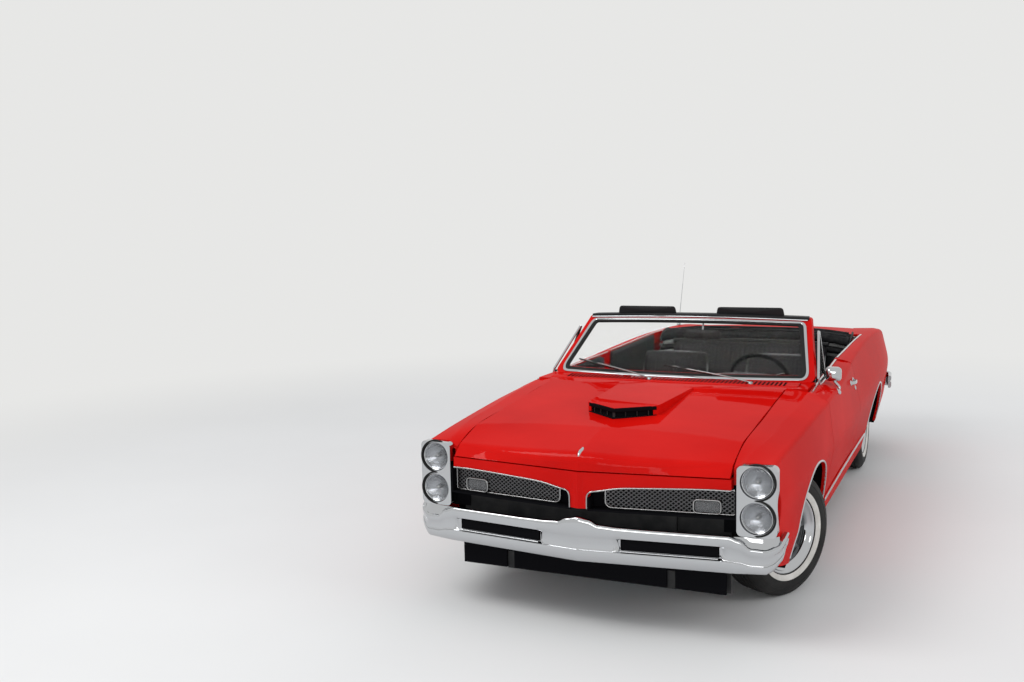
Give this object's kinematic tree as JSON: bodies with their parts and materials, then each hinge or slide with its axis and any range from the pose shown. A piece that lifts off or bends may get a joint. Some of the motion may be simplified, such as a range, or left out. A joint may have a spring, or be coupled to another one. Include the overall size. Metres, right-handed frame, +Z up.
{
  "type": "two-door open-top muscle car",
  "caption": "Mid-size two-door open-top muscle car, top folded down, with opening doors, hood and trunk, steering and turning wheels.",
  "frame": {"origin": "on the ground under the middle of the car's length and width", "axes": "+X towards the car's left (driver's) side, +Y towards its tail, +Z up; the nose faces -Y"},
  "size_m": [1.9116, 5.248, 1.5244],
  "materials": {
    "body_paint": "gloss red paint",
    "black_paint": "satin black",
    "grille_black": "satin black",
    "chrome": "polished",
    "glass": "clear",
    "lamp_glass": "fluted clear",
    "red_lens": "clear red",
    "black_vinyl": "grained vinyl",
    "top_cloth": "black cloth over a white lining",
    "carpet": "black carpet",
    "engine_metal": "painted",
    "steel": "dull",
    "wheel_metal": "satin silver",
    "tyre": "matt rubber",
    "dash_black": "satin"
  },
  "bodies": {
    "root": {"fender_left": "body_paint", "fender_right": "body_paint", "nose_panel": "body_paint", "grille": "grille_black", "grille_mesh": "chrome", "lamp_bezels": "chrome", "headlamps": "lamp_glass", "cowl": "body_paint", "windshield_frame": "body_paint", "windshield_glass": "glass", "hinge_pillars": "body_paint", "rocker_panels": "body_paint", "quarter_left": "body_paint", "quarter_right": "body_paint", "rear_deck": "body_paint", "tail_panel": "body_paint", "tail_lamps": "red_lens", "front_bumper": "chrome", "rear_bumper": "chrome", "front_valance": "black_paint", "chassis_frame": "black_paint", "floor_pan": "carpet", "firewall": "black_paint", "inner_fenders": "black_paint", "radiator": "black_paint", "engine": "engine_metal", "rear_wheelhouses": "black_paint", "rear_bulkhead": "black_paint", "trunk_floor": "black_paint", "fuel_tank": "steel", "exhaust": "steel", "rear_suspension": "black_paint", "front_suspension": "black_paint", "dashboard": "dash_black", "front_seats": "black_vinyl", "rear_seat": "black_vinyl", "console": "dash_black", "folded_top": "top_cloth", "visors": "black_vinyl", "wipers": "chrome", "antenna": "chrome"},
    "hood": {"hood": "body_paint", "hood_scoop": "body_paint"},
    "trunk_lid": {"trunk_lid": "body_paint"},
    "door_left": {"door_left": "body_paint", "vent_window_left": "glass", "door_mirror": "chrome"},
    "door_right": {"door_right": "body_paint", "vent_window_right": "glass"},
    "steering_wheel": {"steering_wheel": "dash_black"},
    "knuckle_left": {"knuckle_left": "steel"},
    "knuckle_right": {"knuckle_right": "steel"},
    "wheel_front_left": {"rim_front_left": "wheel_metal", "tyre_front_left": "tyre"},
    "wheel_front_right": {"rim_front_right": "wheel_metal", "tyre_front_right": "tyre"},
    "wheel_rear_left": {"rim_rear_left": "wheel_metal", "tyre_rear_left": "tyre"},
    "wheel_rear_right": {"rim_rear_right": "wheel_metal", "tyre_rear_right": "tyre"}
  },
  "joints": [
    {"name": "hood_hinge", "type": "hinge", "parent": "root", "child": "hood", "pos_m": [0, -1.237, 0.961], "axis": [-1, 0, 0], "range_deg": [0, 50]},
    {"name": "trunk_hinge", "type": "hinge", "parent": "root", "child": "trunk_lid", "pos_m": [0, 1.517, 0.989], "axis": [1, 0, 0], "range_deg": [0, 65]},
    {"name": "door_left_hinge", "type": "hinge", "parent": "root", "child": "door_left", "pos_m": [0.938, -1.157, 0.66], "axis": [0, 0, -1], "range_deg": [0, 65]},
    {"name": "door_right_hinge", "type": "hinge", "parent": "root", "child": "door_right", "pos_m": [-0.938, -1.157, 0.66], "axis": [0, 0, 1], "range_deg": [0, 65]},
    {"name": "steer_left", "type": "hinge", "parent": "root", "child": "knuckle_left", "pos_m": [0.68, -1.689, 0.32], "axis": [0, 0, 1], "range_deg": [-8, 65]},
    {"name": "steer_right", "type": "hinge", "parent": "root", "child": "knuckle_right", "pos_m": [-0.68, -1.689, 0.32], "axis": [0, 0, 1], "range_deg": [-8, 65]},
    {"name": "steering_wheel_turn", "type": "hinge", "parent": "root", "child": "steering_wheel", "pos_m": [0.37, -0.359, 0.88], "axis": [0, 0.9135, 0.4067], "range_deg": [-128.01, 1040.01]},
    {"name": "front_left_spin", "type": "hinge", "parent": "knuckle_left", "child": "wheel_front_left", "pos_m": [0.73141, -1.71691, 0.32], "axis": [0.8788, -0.4772, 0], "continuous": true},
    {"name": "front_right_spin", "type": "hinge", "parent": "knuckle_right", "child": "wheel_front_right", "pos_m": [-0.73141, -1.66109, 0.32], "axis": [-0.8788, 0.4772, 0], "continuous": true},
    {"name": "rear_left_spin", "type": "hinge", "parent": "root", "child": "wheel_rear_left", "pos_m": [0.7385, 1.232, 0.32], "axis": [1, 0, 0], "continuous": true},
    {"name": "rear_right_spin", "type": "hinge", "parent": "root", "child": "wheel_rear_right", "pos_m": [-0.7385, 1.232, 0.32], "axis": [-1, 0, 0], "continuous": true}
  ],
  "couplings": [
    {"joint": "steer_right", "follows": "steer_left", "ratio": 1},
    {"joint": "steering_wheel_turn", "follows": "steer_left", "ratio": 16}
  ]
}
